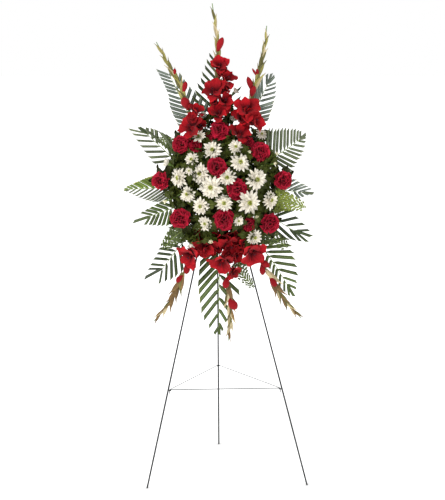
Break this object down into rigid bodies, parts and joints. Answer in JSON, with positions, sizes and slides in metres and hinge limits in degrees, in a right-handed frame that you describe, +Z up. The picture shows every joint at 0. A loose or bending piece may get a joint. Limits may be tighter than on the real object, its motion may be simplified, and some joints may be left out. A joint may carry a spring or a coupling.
{
  "type": "standing funeral spray",
  "caption": "Standing funeral spray: cut carnations, chrysanthemums, gladioli and palm in a foam holder, hung on a three-legged wire easel.",
  "frame": {"origin": "on the floor, under the middle of the object's bounding box", "axes": "+X to the viewer's right, -Y towards the viewer, the side the flowers face, +Z up"},
  "size_m": [0.6678, 0.5702, 1.672],
  "materials": {
    "easel_wire": "dark grey-green painted steel wire",
    "easel_brace": "bare bright wire",
    "tray": "dark green moulded plastic",
    "foam": "wet green floral foam",
    "tape": "green waterproof florist tape",
    "carnation_petals": "soft crimson petal",
    "mum_petals": "white petal with a yellow-green middle",
    "gladiolus_petals": "bright red petal, green tip buds",
    "palm_leaf": "dark green leaf, slightly glossy",
    "fern_leaf": "mid green leaf"
  },
  "bodies": {
    "root": {"easel_leg_left": "easel_wire", "easel_leg_right": "easel_wire", "easel_leg_rear": "easel_wire", "easel_brace_front": "easel_brace", "easel_brace_left": "easel_brace", "easel_brace_right": "easel_brace", "easel_bolt": "easel_brace", "easel_hanger": "easel_wire", "holder_tray": "tray", "holder_strap_lower": "tape", "holder_strap_upper": "tape", "foam_block": "foam", "carnation_upper_left": "carnation_petals", "carnation_top": "carnation_petals", "carnation_centre_top": "carnation_petals", "carnation_centre": "carnation_petals", "carnation_upper_right": "carnation_petals", "carnation_right": "carnation_petals", "carnation_left": "carnation_petals", "carnation_lower_left": "carnation_petals", "carnation_lower_centre": "carnation_petals", "carnation_lower_right": "carnation_petals", "carnation_behind_lower_right": "carnation_petals", "carnation_behind_upper_left": "carnation_petals", "carnation_behind_upper_right": "carnation_petals", "carnation_behind_top": "carnation_petals", "mum_spray_upper_left": "mum_petals", "mum_spray_top": "mum_petals", "mum_spray_upper_right": "mum_petals", "mum_spray_left": "mum_petals", "mum_spray_centre_left": "mum_petals", "mum_spray_centre": "mum_petals", "mum_spray_right": "mum_petals", "mum_spray_lower_left": "mum_petals", "mum_spray_lower_right": "mum_petals", "gladiolus_top_left": "gladiolus_petals", "gladiolus_top_centre": "gladiolus_petals", "gladiolus_top_right": "gladiolus_petals", "gladiolus_bottom_left": "gladiolus_petals", "gladiolus_bottom_centre": "gladiolus_petals", "gladiolus_bottom_right": "gladiolus_petals", "palm_upper_left": "palm_leaf", "palm_top": "palm_leaf", "palm_upper_right": "palm_leaf", "palm_left_high": "palm_leaf", "palm_left_middle": "palm_leaf", "palm_left_low": "palm_leaf", "palm_bottom_left": "palm_leaf", "palm_bottom": "palm_leaf", "palm_bottom_right": "palm_leaf", "palm_right_low": "palm_leaf", "palm_right_middle": "palm_leaf", "palm_right_high": "palm_leaf", "fern_right": "fern_leaf", "fern_lower_right": "fern_leaf", "fern_upper_left": "fern_leaf", "leaf_spray_top": "fern_leaf", "leaf_spray_lower_right": "fern_leaf", "leaf_spray_lower_left": "fern_leaf"}
  },
  "joints": []
}
